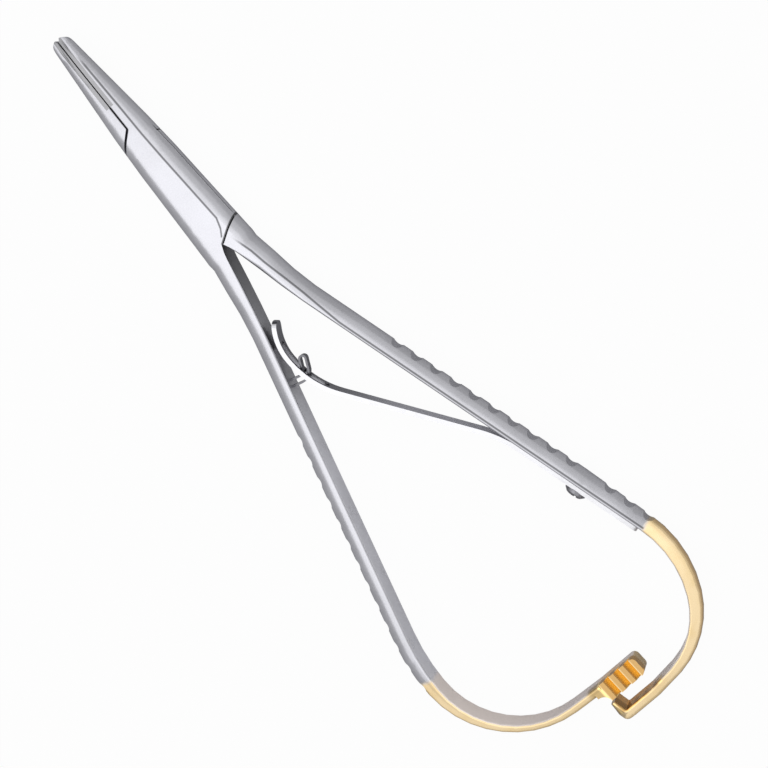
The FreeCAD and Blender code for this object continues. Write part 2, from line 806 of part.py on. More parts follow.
def build_pin():
    """Rivet-like pin, flush with both faces of the box."""
    body = new_body("pivot_pin")
    circle = Part.Circle(Vector(0, 0, 0), Vector(0, 0, 1), size("pin_diameter") / 2)
    sketch = new_sketch(body, "PinOutline", "XY_Plane", [circle])
    sketch.addConstraint(Sketcher.Constraint("Coincident", 0, 3, -1, 1))
    radius = sketch.addConstraint(Sketcher.Constraint("Radius", 0, size("pin_diameter") / 2))
    sketch.setExpression(f"Constraints[{radius}]", "Sizes.pin_diameter / 2")
    new_pad(body, "PinLength", sketch, "Sizes.forging_thickness")
    return body


def slot_outline(start, end, half):
    """Rounded slot in the YZ plane, from one end of its length to the other."""
    first = start - half
    last = end + half
    return [
        Part.LineSegment(Vector(first, half, 0), Vector(last, half, 0)),
        Part.Arc(Vector(last, half, 0), Vector(end, 0, 0), Vector(last, -half, 0)),
        Part.LineSegment(Vector(last, -half, 0), Vector(first, -half, 0)),
        Part.Arc(Vector(first, -half, 0), Vector(start, 0, 0), Vector(first, half, 0)),
    ]


def build_leaf(ribbon):
    """Slotted leaf spring, screwed on the right grip and bearing on the left one."""
    body = new_body("leaf_spring")
    half = size("leaf_thickness") / 2
    low = "Sizes.forging_thickness / 2 - Sizes.leaf_width / 2"
    outline = new_sketch(body, "LeafOutline", "XY_Plane", ribbon.outline(half), low)
    new_pad(body, "LeafStrip", outline, "Sizes.leaf_width")
    _edges, fixed_end, free_end, _way = ribbon.side_line(0.0)

    for name, end in (("leaf_tip_round", free_end), ("leaf_end_round", fixed_end)):
        strip = body.Tip
        corners = []
        for number, edge in enumerate(strip.Shape.Edges, start=1):
            middle = edge.CenterOfMass
            flat = abs(middle.z - MIDDLE) > size("leaf_width") / 2 - FIT
            if flat and Vector(middle.x, middle.y, 0).distanceToPoint(end) < half / 10:
                corners.append(f"Edge{number}")
        fillet = body.newObject("PartDesign::Fillet", "Round" + name.title().replace("_", ""))
        fillet.Base = (strip, corners)
        fillet.setExpression("Radius", "Sizes." + name)
        doc.recompute()
        body.Tip = fillet

    top = free_end.y - size("leaf_slot_start")
    slot = slot_outline(top, top - size("leaf_slot_length"), size("leaf_slot_width") / 2)
    for item in slot:
        item.translate(Vector(0, MIDDLE, 0))
    sketch = new_sketch(body, "SlotOutline", "YZ_Plane", slot, "2 * Sizes.box_half_width")
    new_pocket(body, "Slot", sketch, "6 * Sizes.box_half_width")

    hole = body.newObject("PartDesign::SubtractiveCylinder", "ScrewHole")
    hole.setExpression("Radius", "Sizes.screw_diameter / 2 + Sizes.screw_clearance")
    hole.setExpression("Height", "2 * Sizes.leaf_thickness")
    point, heading = right_walk.at(size("screw_place"))
    inward = outward_vector(RIGHT, heading) * -1
    base = point - inward * (size("leaf_thickness") / 2) + Vector(0, 0, MIDDLE)
    hole.Placement = Placement(base, Rotation(Vector(0, 0, 1), inward))
    doc.recompute()
    body.Tip = hole
    return body


def screw_placement():
    """On the free face of the leaf, with Z along the screw, out of the handle."""
    point, heading = right_walk.at(size("screw_place"))
    inward = outward_vector(RIGHT, heading) * -1
    seat = point + inward * (size("leaf_thickness") + size("leaf_seat_gap")) + Vector(0, 0, MIDDLE)
    return Placement(seat, Rotation(Vector(0, 0, 1), inward))


def screw_depth():
    """From under the screw's head, through the leaf, to the end of its shank."""
    return size("screw_length") + size("leaf_thickness") + size("leaf_seat_gap")


def build_screw():
    """Slotted cheese-head screw."""
    body = new_body("spring_screw", screw_placement())
    head = size("screw_head_diameter") / 2
    shank = size("screw_diameter") / 2
    height = size("screw_head_height")
    rim = size("screw_head_edge")
    depth = screw_depth()
    crown = head - size("screw_head_slope")
    profile = [
        Part.LineSegment(Vector(0, -depth, 0), Vector(shank, -depth, 0)),
        Part.LineSegment(Vector(shank, -depth, 0), Vector(shank, 0, 0)),
        Part.LineSegment(Vector(shank, 0, 0), Vector(head, 0, 0)),
        Part.LineSegment(Vector(head, 0, 0), Vector(head, rim, 0)),
        Part.LineSegment(Vector(head, rim, 0), Vector(crown, height, 0)),
        Part.LineSegment(Vector(crown, height, 0), Vector(0, height, 0)),
        Part.LineSegment(Vector(0, height, 0), Vector(0, -depth, 0)),
    ]
    sketch = new_sketch(body, "ScrewProfile", "XZ_Plane", profile)
    turn = body.newObject("PartDesign::Revolution", "Screw")
    turn.Profile = sketch
    turn.ReferenceAxis = (sketch, ["V_Axis"])
    turn.Angle = 360
    doc.recompute()
    half = size("screw_slot_width") / 2
    reach = 2 * head
    corners = [
        Vector(-reach, -half, 0),
        Vector(reach, -half, 0),
        Vector(reach, half, 0),
        Vector(-reach, half, 0),
    ]
    rectangle = [Part.LineSegment(a, b) for a, b in zip(corners, corners[1:] + corners[:1])]
    sketch = new_sketch(body, "DriverSlotOutline", "XY_Plane", rectangle, "Sizes.screw_head_height")
    new_pocket(body, "DriverSlot", sketch, "Sizes.screw_slot_depth")
    return body


def build_guide(ribbon):
    """Hairpin of strip: two legs in the left grip, a loop turned towards the jaws."""
    body = new_body("spring_guide")
    low = "Sizes.forging_thickness / 2 - Sizes.guide_width / 2"
    half = size("guide_bow") / 2
    outline = new_sketch(body, "GuideOutline", "XY_Plane", ribbon.outline(half, True), low)
    new_pad(body, "GuideStrip", outline, "Sizes.guide_width")
    inside = new_sketch(body, "GuideInside", "XY_Plane", ribbon.outline(half - size("guide_strip"), True), low)
    pocket = new_pocket(body, "GuideLoop", inside, "Sizes.guide_width")
    pocket.Reversed = True
    doc.recompute()
    return body


leaf_path = leaf_ribbon()
guide_path = guide_ribbon()
box_shape, tongue_shape, insert_shapes = build_branches()
part_feature("box_branch", box_shape)
part_feature("tongue_branch", tongue_shape)
part_feature("right_insert", insert_shapes[RIGHT])
part_feature("left_insert", insert_shapes[LEFT])
build_pin()
build_leaf(leaf_path)
build_screw()
build_guide(guide_path)
doc.recompute()

NODES = [
    "box_branch",
    "tongue_branch",
    "right_insert",
    "left_insert",
    "pivot_pin",
    "leaf_spring",
    "spring_screw",
    "spring_guide",
]

os.makedirs("parts", exist_ok=True)
for item in doc.Objects:
    if "Invalid" in item.State or "Error" in item.State:
        raise RuntimeError(f"{item.Name} did not build")
for name in NODES:
    shape = doc.getObject(name).Shape
    if shape.isNull() or not shape.isValid() or len(shape.Solids) != 1:
        raise RuntimeError(f"{name} is not one valid solid")
    print(name, "volume", round(shape.Volume, 2))
    shape.exportStep(f"parts/{name}.step")
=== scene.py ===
"""Looks of the mathieu pliers: satin steel branches, gold-plated tails, carbide inserts, leaf spring."""
import math

import bmesh
import bpy
from mathutils import Matrix, Vector


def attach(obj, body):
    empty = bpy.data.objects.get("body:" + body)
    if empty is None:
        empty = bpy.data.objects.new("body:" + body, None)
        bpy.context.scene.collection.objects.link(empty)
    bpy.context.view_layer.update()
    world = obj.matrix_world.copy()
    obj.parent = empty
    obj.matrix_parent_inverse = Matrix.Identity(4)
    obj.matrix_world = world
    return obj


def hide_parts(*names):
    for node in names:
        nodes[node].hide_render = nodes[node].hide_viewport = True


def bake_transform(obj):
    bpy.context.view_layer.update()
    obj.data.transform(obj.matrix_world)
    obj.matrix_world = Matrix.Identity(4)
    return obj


MM = 0.001

# Where the gold plating begins, as a distance along each handle's own heading from the pivot.
LEFT_ANGLE = math.radians(15.5)
RIGHT_ANGLE = math.radians(16.7)
LEFT_PLATING = 88.6 * MM
RIGHT_PLATING = 90.7 * MM
PLATING_EDGE = 0.9 * MM
PLATING_RAGGED = 0.6 * MM

# The rack on the left tail: where its first tooth begins and how it lies; then, in mm, the height of its
# front, how far apart the teeth are, how wide the painted highlight along each crest is, between which
# places each tread's painted shade turns into the ramp's painted reflection, and where the darker land
# before the teeth begins.
RACK_START = Vector((1.18, -103.25, 0.0)) * MM
RACK_TILT = math.radians(3.0)
RACK_FRONT = 5.0
TOOTH_PITCH = 2.1
CREST_LINE = 0.25
RAMP_EDGE = (0.8, 1.5)
LAND_EDGE = (-0.2, -0.6)

# Where the rack's painted light and shade start and stop along it, across it and below its front, in mm:
# each pair is a soft edge.
RACK_PAINT_ALONG = ((-3.0, -1.6), (8.2, 8.5))
RACK_PAINT_ACROSS = ((-6.0, -5.5), (2.0, 2.5))
RACK_PAINT_BELOW = (2.6, 1.6)

# The ground crease on the front: where it lies across the pliers, at places along them, in mm.
BOX_CREASE = [(26.0, 1.05), (15.2, 1.3), (9.2, 1.38), (-8.45, 2.06), (-10.1, 1.5), (-11.3, 0.7)]
HANDLE_CREASE = [(-12.0, 1.9), (-15.9, 2.98), (-18.6, 3.45), (-26.0, 5.1), (-33.4, 6.6), (-88.0, 23.0)]
CREASE_LEVEL = (3.4, 4.0)
CREASE_FADE = 3.0
CREASE_END = 0.1
CREASE_STROKE = (0.08, 0.24)
# The crease's dark line is painted shade: how dark it gets.
CREASE_SHADE = 0.7
FACET_SLOPE = math.tan(math.radians(6.5))

# The seams on the front, and the slot's edge on the right flank of the box, in mm.
JAW_END = 11.3
JAW_END_ANGLE = math.radians(40.0)
HANDLE_END = -12.2
HANDLE_END_ANGLE = math.radians(30.0)
SEAM_STROKE = (0.14, 0.26)
SEAM_TRIM = 0.2
SEAM_DARK = 0.8
SLOT_LEVEL = 3.6
SLOT_STROKE = (0.04, 0.12)
SLOT_FLANK = (2.9, 3.1)
SLOT_REACH = (8.8, 9.8)

# The tails' front: the heights, in mm, between which the outer side's shading leans over, and how far.
CROWN_LOW = 3.5
CROWN_HIGH = 5.0
CROWN_LEAN = 2.2
CROWN_FACING = (0.3, 0.6)
BOW_CENTRE = Vector((2.0, -86.0, 2.7)) * MM

# Where painted shade turns the plating browner outside the bow and painted reflection paler inside it; the
# hook's inside, deeper gold by painted reflection: its middle, how far around it that reaches in mm, which
# way faces look.
SIDE_FACING = (0.80, 0.97)
PALE_FACING = (-0.4, -0.8)
HOOK_PLACE = Vector((3.4, -107.4, 2.7)) * MM
HOOK_SPAN = (5.5, 3.5)
HOOK_FACING = (-0.15, -0.35)

# The inner faces of the handles behind the box: painted shade that goes from dark to bright, in mm from
# the pivot.
HANDLE_START = -12.3 * MM
INNER_FACING = 0.93
INNER_SHADE_FADE = (14.0, 50.0)

# The pivot, and the gripping faces of the carbide inserts.
PIVOT = Vector((0.0, 0.0, 2.7)) * MM
GRIP_PLANE = 0.1 * MM
HATCH_REAR = 15.9 * MM
HATCH_LENGTH = 12.6 * MM
HATCH_HEIGHT = 2.0 * MM
HATCH_PITCH = 0.4 * MM
HATCH_RELIEF = 0.06 * MM
HATCH_SINK = 0.01 * MM

# The tip: where its dome begins, and how long it is.
TIP_START = 27.7 * MM
TIP_LENGTH = 2.3 * MM

# The leaf spring: its long edges lie past a height from its middle, it pales along its length (in mm),
# it is cut across at a spacing, and its lines are turned to run with it. The screw that holds it has its
# own axis and rings.
# The leaf's long edges are painted brighter: a painted highlight.
LEAF_EDGE = 1.3 * MM
LEAF_EDGE_FACING = 0.4
LEAF_FADE = (40.0, 52.0)
LEAF_CUTS = 1.5 * MM
LEAF_LINES = math.radians(30.0)
SCREW_AXIS = Vector((-math.cos(RIGHT_ANGLE), -math.sin(RIGHT_ANGLE), 0.0))
SCREW_RINGS = 52000.0

# How the CAD meshes are joined and shaded.
MERGE_DISTANCE = 0.002 * MM
SLIVER_LENGTH = 0.001 * MM
CUT_DISTANCE = 0.0005 * MM
SHARP_ANGLE = math.radians(28.0)
SHADING_WEIGHT = 50

# The camera: its tilt to the object's right, its roll, and the pixel on which the pivot falls.
CAMERA_TILT = math.radians(16.0)
CAMERA_ROLL = math.radians(-39.7)
PICTURE = 768
FOCAL_PIXELS = 2200.0
PIVOT_DISTANCE = 348.1 * MM
PIVOT_PIXEL = (177.7, 183.4)
SENSOR = 36.0
CLIP_NEAR = 0.01
CLIP_FAR = 20.0

# The noises of the metals: the scale, the detail and the roughness of each.
BEADS = (5200.0, 3.0, 0.6)
CLOUDS = (160.0, 3.0, 0.55)
BRUSHING = (6500.0, 2.0, 0.5)
PLATING_LINE = (700.0, 2.0, 0.5)
PLATING_WEAR = (260.0, 4.0, 0.6)
ROLLING = (5200.0, 3.0, 0.5)
BRUSH_STRETCH = (1.0, 0.12, 1.0)
ROLLING_STRETCH = (1.0, 0.05, 1.0)

# How the noises tell: the beads' share of the tone and of the height, the ranges that are stretched, how
# far tone and roughness wander, and the gloss that the plating adds.
TONE_SHARE = 0.55
HEIGHT_SHARE = 0.6
GRAIN_RANGE = (0.35, 0.65)
GRAIN_TONE = (0.9, 1.08)
WEAR_RANGE = (0.35, 0.75)
ROUGHNESS_WANDER = 0.18
PLATING_GLOSS = 0.05

# Each metal's roughness, and the depth and strength of its relief.
SATIN = 0.3
CARBIDE_ROUGHNESS = 0.4
SPRING_ROUGHNESS = 0.26
SCREW_ROUGHNESS = 0.24
GUIDE_ROUGHNESS = 0.26
SATIN_RELIEF = (0.02 * MM, 0.35)
CARBIDE_RELIEF = (0.03 * MM, 0.5)
SPRING_RELIEF = (0.02 * MM, 0.4)
SCREW_RELIEF = (0.004 * MM, 0.3)
GUIDE_RELIEF = (0.02 * MM, 0.3)

# The tones of the metals and of their plating.
STEEL = (0.475, 0.475, 0.505)
# Painted shade on the handles' inner faces: dark near the box, and a painted lighter tone further along.
SHADED_INNER_STEEL = (0.27, 0.27, 0.28)
LIT_INNER_STEEL = (0.80, 0.80, 0.84)
SPRING_STEEL = (0.20, 0.20, 0.215)
SPRING_STEEL_FAR = (0.56, 0.56, 0.60)
# Painted highlight on the leaf's long edges.
SPRING_EDGE_HIGHLIGHT = (0.52, 0.52, 0.54)
GUIDE_STEEL = (0.13, 0.13, 0.14)
CARBIDE = (0.30, 0.30, 0.31)
EDGE_TINT = (0.6, 0.6, 0.62, 1.0)
PLATING = (0.62, 0.49, 0.30)
PLATING_WORN = (0.58, 0.44, 0.24)
# Plating tones painted for light: a pale reflection, a browner shade, and the hook's deeper gold
# reflection.
PALE_PLATING_REFLECTION = (0.95, 0.87, 0.82)
SIDE_PLATING_SHADE = (0.66, 0.47, 0.25)
HOOK_GOLD_REFLECTION = (0.98, 0.58, 0.20)
# The rack's painted shade on treads, highlight on crests and reflection down ramps, and its darker land.
TREAD_SHADE_GOLD = (0.45, 0.28, 0.11)
CREST_HIGHLIGHT_GOLD = (0.62, 0.48, 0.26)
RAMP_REFLECTION_GOLD = (0.86, 0.64, 0.28)
LAND_GOLD = (0.42, 0.30, 0.14)
START_TONE = (0.5, 0.5, 0.5, 1.0)

# The floor, the room and the lamps: each lamp has its place, target, width, depth and power.
FLOOR_LEVEL = -0.02 * MM
FLOOR_HALF = 3.0
FLOOR_TONE = (0.70, 0.70, 0.70, 1.0)
FLOOR_TO_CAMERA = 0.96
FLOOR_TO_METAL = 0.2
ROOM_TO_METAL = (0.58, 1.0)
ROOM_GREY = (0.8, 0.8, 0.82, 1.0)
ROOM_STRENGTH = 0.4
WHITE = (1.0, 1.0, 1.0, 1.0)
LAMPS = {
    "overhead": ((-0.165, 0.02, 0.58), (0.0, -0.02, 0.0), 0.30, 0.9, 0.52),
    "broad": ((-0.05, -0.02, 0.62), (0.0, -0.04, 0.0), 1.5, 1.5, 4.6),
}

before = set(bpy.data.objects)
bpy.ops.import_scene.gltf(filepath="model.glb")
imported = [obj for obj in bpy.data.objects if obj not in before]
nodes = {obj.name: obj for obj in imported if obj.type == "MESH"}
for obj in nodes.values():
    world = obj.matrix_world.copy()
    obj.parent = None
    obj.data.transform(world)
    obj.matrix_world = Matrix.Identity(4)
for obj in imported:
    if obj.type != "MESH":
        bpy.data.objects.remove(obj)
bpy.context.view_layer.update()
bpy.context.scene.view_settings.view_transform = "Standard"


# Camera

def aim_camera():
    """Sets the camera from its tilt, its roll and the pixel of the pivot."""
    towards = Vector((math.sin(CAMERA_TILT), 0.0, math.cos(CAMERA_TILT)))
    level = Vector((math.cos(CAMERA_TILT), 0.0, -math.sin(CAMERA_TILT)))
    upright = Vector((0.0, 1.0, 0.0))
    right = math.cos(CAMERA_ROLL) * level + math.sin(CAMERA_ROLL) * upright
    up = math.cos(CAMERA_ROLL) * upright - math.sin(CAMERA_ROLL) * level
    across = (PIVOT_PIXEL[0] - PICTURE / 2) / FOCAL_PIXELS * PIVOT_DISTANCE
    down = (PIVOT_PIXEL[1] - PICTURE / 2) / FOCAL_PIXELS * PIVOT_DISTANCE
    place = PIVOT + towards * PIVOT_DISTANCE - right * across + up * down
    lens = bpy.data.cameras.new("camera")
    lens.sensor_width = SENSOR
    lens.lens = FOCAL_PIXELS / PICTURE * SENSOR
    lens.clip_start = CLIP_NEAR
    lens.clip_end = CLIP_FAR
    camera = bpy.data.objects.new("camera", lens)
    turn = Matrix((right, up, towards)).transposed()
    camera.matrix_world = Matrix.Translation(place) @ turn.to_4x4()
    bpy.context.scene.collection.objects.link(camera)
    bpy.context.scene.camera = camera


# Shader helpers

def new_group(name, inputs, outputs):
    """An empty shader group with its named sockets, and its two end nodes."""
    group = bpy.data.node_groups.new(name, "ShaderNodeTree")
    for label, kind, value in inputs:
        socket = group.interface.new_socket(name=label, in_out="INPUT", socket_type=kind)
        if value is not None:
            socket.default_value = value
    for label, kind in outputs:
        group.interface.new_socket(name=label, in_out="OUTPUT", socket_type=kind)
    start = group.nodes.new("NodeGroupInput")
    end = group.nodes.new("NodeGroupOutput")
    return group, start, end


def noise(tree, vector, scale, detail, roughness):
    """A noise texture read at a vector."""
    node = tree.nodes.new("ShaderNodeTexNoise")
    node.inputs["Scale"].default_value = scale
    node.inputs["Detail"].default_value = detail
    node.inputs["Roughness"].default_value = roughness
    tree.links.new(vector, node.inputs["Vector"])
    return node.outputs["Fac"]


def vectors(tree, kind, first, second=None, scale=None):
    """One Vector Math node, with each input a socket or a fixed vector."""
    node = tree.nodes.new("ShaderNodeVectorMath")
    node.operation = kind
    for place, value in enumerate((first, second)):
        if isinstance(value, bpy.types.NodeSocket):
            tree.links.new(value, node.inputs[place])
        elif value is not None:
            node.inputs[place].default_value = value
    if scale is not None:
        tree.links.new(scale, node.inputs["Scale"])
    answer = "Value" if kind in ("DOT_PRODUCT", "DISTANCE") else "Vector"
    return node.outputs[answer]


def stretched(tree, vector, turn, scale):
    """The vector turned about Z, then scaled along each axis."""
    node = tree.nodes.new("ShaderNodeMapping")
    node.vector_type = "TEXTURE"
    node.inputs["Rotation"].default_value = (0.0, 0.0, turn)
    tree.links.new(vector, node.inputs["Vector"])
    return vectors(tree, "MULTIPLY", node.outputs["Vector"], scale)


def maths(tree, kind, first, second=None, third=None):
    """One Math node, with each input a socket or a number."""
    node = tree.nodes.new("ShaderNodeMath")
    node.operation = kind
    for place, value in enumerate((first, second, third)):
        if isinstance(value, bpy.types.NodeSocket):
            tree.links.new(value, node.inputs[place])
        elif value is not None:
            node.inputs[place].default_value = value
    return node.outputs["Value"]


def product(tree, first, *others):
    """The product of several values."""
    for other in others:
        first = maths(tree, "MULTIPLY", first, other)
    return first


def blended(tree, first, share, second):
    """Two values added, the first by its share and the second by the rest."""
    mine = maths(tree, "MULTIPLY", first, share)
    return maths(tree, "ADD", mine, maths(tree, "MULTIPLY", second, 1 - share))


def band(tree, value, low, high, to_low=0.0, to_high=1.0, smooth=True):
    """A value mapped from one range to another, held at both ends."""
    node = tree.nodes.new("ShaderNodeMapRange")
    node.interpolation_type = "SMOOTHSTEP" if smooth else "LINEAR"
    node.inputs["From Min"].default_value = low
    node.inputs["From Max"].default_value = high
    node.inputs["To Min"].default_value = to_low
    node.inputs["To Max"].default_value = to_high
    tree.links.new(value, node.inputs["Value"])
    return node.outputs["Result"]


def edge(tree, value, places):
    """A soft edge between two places in mm: 0 at the first and 1 at the second."""
    return band(tree, value, places[0] * MM, places[1] * MM)


def between(tree, value, rise, fall):
    """A mask with a soft edge at each end, in mm."""
    return product(tree, edge(tree, value, rise), edge(tree, value, (fall[1], fall[0])))


def stroke(tree, distance, widths):
    """A line either side of distance 0: full within the first width and gone past the second, in mm."""
    return edge(tree, maths(tree, "ABSOLUTE", distance), (widths[1], widths[0]))


def mixed(tree, factor, first, second):
    """Two colours mixed by a factor, with each a socket or a colour."""
    node = tree.nodes.new("ShaderNodeMix")
    node.data_type = "RGBA"
    tree.links.new(factor, node.inputs["Factor"])
    for label, value in (("A", first), ("B", second)):
        socket = [s for s in node.inputs if s.name == label and s.type == "RGBA"][0]
        if isinstance(value, tuple):
            socket.default_value = (*value, 1.0)
        else:
            tree.links.new(value, socket)
    return [s for s in node.outputs if s.type == "RGBA"][0]


# Shared finishes

def make_satin_grain():
    """Fine satin grain of blasted and brushed steel: a tone, a roughness and a height."""
    group, start, end = new_group(
        "satin_grain",
        [("Place", "NodeSocketVector", None), ("Tone", "NodeSocketColor", START_TONE),
         ("Roughness", "NodeSocketFloat", SATIN)],
        [("Tone", "NodeSocketColor"), ("Roughness", "NodeSocketFloat"), ("Height", "NodeSocketFloat")],
    )
    place = start.outputs["Place"]
    beads = noise(group, place, *BEADS)
    cloud = noise(group, place, *CLOUDS)
    brushed = noise(group, stretched(group, place, 0.0, BRUSH_STRETCH), *BRUSHING)
    uneven = blended(group, beads, TONE_SHARE, cloud)
    lift = band(group, uneven, *GRAIN_RANGE, *GRAIN_TONE, smooth=False)
    toned = vectors(group, "SCALE", start.outputs["Tone"], scale=lift)
    group.links.new(toned, end.inputs["Tone"])
    middle = maths(group, "SUBTRACT", cloud, 0.5)
    wander = maths(group, "MULTIPLY_ADD", middle, ROUGHNESS_WANDER, start.outputs["Roughness"])
    group.links.new(wander, end.inputs["Roughness"])
    group.links.new(blended(group, beads, HEIGHT_SHARE, brushed), end.inputs["Height"])
    return group


def faces_outward(group, start):
    """How far a surface of the tails faces away from the middle of their bow: 1 fully, -1 towards it."""
    away = vectors(group, "SUBTRACT", start.outputs["Place"], BOW_CENTRE)
    level = vectors(group, "MULTIPLY", away, (1.0, 1.0, 0.0))
    return vectors(group, "DOT_PRODUCT", vectors(group, "NORMALIZE", level), start.outputs["Normal"])


def make_plating():
    """Gold plating past a line across a handle: browner outside the bow (painted shade), paler in it, deep
    in the hook (painted reflection).
    """
    group, start, end = new_group(
        "gold_plating",
        [("Place", "NodeSocketVector", None), ("Normal", "NodeSocketVector", None),
         ("Heading", "NodeSocketVector", None), ("Begins", "NodeSocketFloat", LEFT_PLATING),
         ("Steel", "NodeSocketColor", START_TONE)],
        [("Tone", "NodeSocketColor"), ("Mask", "NodeSocketFloat")],
    )
    place = start.outputs["Place"]
    reach = vectors(group, "DOT_PRODUCT", place, start.outputs["Heading"])
    past = maths(group, "SUBTRACT", reach, start.outputs["Begins"])
    rough_edge = noise(group, place, *PLATING_LINE)
    ragged = maths(group, "MULTIPLY_ADD", rough_edge, PLATING_RAGGED, past)
    mask = band(group, ragged, 0.0, PLATING_EDGE)
    thin = noise(group, place, *PLATING_WEAR)
    gold = mixed(group, band(group, thin, *WEAR_RANGE), PLATING, PLATING_WORN)
    facing = faces_outward(group, start)
    # Painted shade browner outside the bow, and painted reflection paler inside it.
    gold = mixed(group, band(group, facing, *SIDE_FACING), gold, SIDE_PLATING_SHADE)
    gold = mixed(group, band(group, facing, *PALE_FACING), gold, PALE_PLATING_REFLECTION)
    # Painted reflection of deeper gold in the hook's inside.
    span = vectors(group, "DISTANCE", place, HOOK_PLACE)
    hook_reflection = product(group, edge(group, span, HOOK_SPAN), band(group, facing, *HOOK_FACING))
    gold = mixed(group, hook_reflection, gold, HOOK_GOLD_REFLECTION)
    group.links.new(mixed(group, mask, start.outputs["Steel"], gold), end.inputs["Tone"])
    group.links.new(mask, end.inputs["Mask"])
    return group


def make_tail_crown():
    """The tails' rounder front: past the plating's line, the outer side's normal leans to the front."""
    group, start, end = new_group(
        "tail_crown",
        [("Place", "NodeSocketVector", None), ("Normal", "NodeSocketVector", None),
         ("Mask", "NodeSocketFloat", 0.0)],
        [("Normal", "NodeSocketVector")],
    )
    height = vectors(group, "DOT_PRODUCT", start.outputs["Place"], (0.0, 0.0, 1.0))
    outer = band(group, faces_outward(group, start), *CROWN_FACING)
    share = product(group, edge(group, height, (CROWN_LOW, CROWN_HIGH)), start.outputs["Mask"], outer)
    lean = vectors(group, "SCALE", (0.0, 0.0, CROWN_LEAN), scale=share)
    total = vectors(group, "ADD", start.outputs["Normal"], lean)
    group.links.new(vectors(group, "NORMALIZE", total), end.inputs["Normal"])
    return group


def make_rack_light_and_shade():
    """Painted light and shade on the rack: dark treads, bright reflections down the ramps, a highlight on
    each crest.
    """
    group, start, end = new_group(
        "rack_light_and_shade",
        [("Place", "NodeSocketVector", None), ("Tone", "NodeSocketColor", START_TONE)],
        [("Tone", "NodeSocketColor")],
    )
    moved = vectors(group, "SUBTRACT", start.outputs["Place"], RACK_START)
    along = vectors(group, "DOT_PRODUCT", moved, (math.cos(RACK_TILT), math.sin(RACK_TILT), 0.0))
    across = vectors(group, "DOT_PRODUCT", moved, (-math.sin(RACK_TILT), math.cos(RACK_TILT), 0.0))
    up = vectors(group, "DOT_PRODUCT", moved, (0.0, 0.0, 1.0))
    step = maths(group, "FLOORED_MODULO", along, TOOTH_PITCH * MM)
    ramp = edge(group, step, RAMP_EDGE)
    crest = edge(group, step, (CREST_LINE, 0.0))
    front = edge(group, up, (RACK_FRONT - RACK_PAINT_BELOW[0], RACK_FRONT - RACK_PAINT_BELOW[1]))
    mask = product(group, between(group, along, *RACK_PAINT_ALONG), between(group, across, *RACK_PAINT_ACROSS), front)
    teeth = mixed(group, crest, mixed(group, ramp, TREAD_SHADE_GOLD, RAMP_REFLECTION_GOLD), CREST_HIGHLIGHT_GOLD)
    teeth = mixed(group, edge(group, along, LAND_EDGE), teeth, LAND_GOLD)
    group.links.new(mixed(group, mask, start.outputs["Tone"], teeth), end.inputs["Tone"])
    return group


def make_crease(name, places):
    """The ground crease along one branch: a dark line of painted shade, and the fall of the facet beside
    it.
    """
    group, start, end = new_group(
        name,
        [("Place", "NodeSocketVector", None), ("Tone", "NodeSocketColor", START_TONE)],
        [("Tone", "NodeSocketColor"), ("Fall", "NodeSocketFloat")],
    )
    parts = group.nodes.new("ShaderNodeSeparateXYZ")
    group.links.new(start.outputs["Place"], parts.inputs["Vector"])
    along = parts.outputs["Y"]
    past = maths(group, "SUBTRACT", parts.outputs["X"], places[0][1] * MM)
    for before, after in zip(places, places[1:]):
        shift = (after[1] - before[1]) * MM
        step = band(group, along, before[0] * MM, after[0] * MM, 0.0, shift, smooth=False)
        past = maths(group, "SUBTRACT", past, step)
    first = places[0][0]
    last = places[-1][0]
    length = between(group, along, (last - CREASE_END, last + CREASE_END), (first - CREASE_FADE, first))
    here = product(group, edge(group, parts.outputs["Z"], CREASE_LEVEL), length)
    dark = product(group, stroke(group, past, CREASE_STROKE), here, CREASE_SHADE)
    light = maths(group, "SUBTRACT", 1.0, dark)
    group.links.new(vectors(group, "SCALE", start.outputs["Tone"], scale=light), end.inputs["Tone"])
    fall = product(group, maths(group, "MAXIMUM", past, 0.0), -FACET_SLOPE)
    group.links.new(fall, end.inputs["Fall"])
    return group


def slant_line(tree, across, along, start, angle):
    """A narrow line through a place on the axis, at an angle to X."""
    sideways = maths(tree, "MULTIPLY", across, -math.sin(angle))
    ahead = maths(tree, "MULTIPLY", maths(tree, "SUBTRACT", along, start * MM), math.cos(angle))
    return stroke(tree, maths(tree, "ADD", sideways, ahead), SEAM_STROKE)


def make_seam_shade():
    """The dark lines that the front shows along its seams, and along the slot's edge on the flank."""
    group, start, end = new_group(
        "seam_shade",
        [("Place", "NodeSocketVector", None), ("Tone", "NodeSocketColor", START_TONE)],
        [("Tone", "NodeSocketColor")],
    )
    parts = group.nodes.new("ShaderNodeSeparateXYZ")
    group.links.new(start.outputs["Place"], parts.inputs["Vector"])
    across = parts.outputs["X"]
    along = parts.outputs["Y"]
    ahead = edge(group, along, (JAW_END - SEAM_TRIM, JAW_END))
    jaws = product(group, stroke(group, across, SEAM_STROKE), ahead)
    jaw_end = slant_line(group, across, along, JAW_END, JAW_END_ANGLE)
    jaw_end = product(group, jaw_end, edge(group, across, (SEAM_TRIM, 0.0)))
    handle_end = slant_line(group, across, along, HANDLE_END, HANDLE_END_ANGLE)
    handle_end = product(group, handle_end, edge(group, across, (-SEAM_TRIM, 0.0)))
    level = maths(group, "SUBTRACT", parts.outputs["Z"], SLOT_LEVEL * MM)
    slot = product(group, stroke(group, level, SLOT_STROKE), edge(group, across, SLOT_FLANK),
                   stroke(group, along, SLOT_REACH))
    darkest = jaws
    for line in (jaw_end, handle_end, slot):
        darkest = maths(group, "MAXIMUM", darkest, line)
    light = maths(group, "MULTIPLY_ADD", darkest, -SEAM_DARK, 1.0)
    group.links.new(vectors(group, "SCALE", start.outputs["Tone"], scale=light), end.inputs["Tone"])
    return group


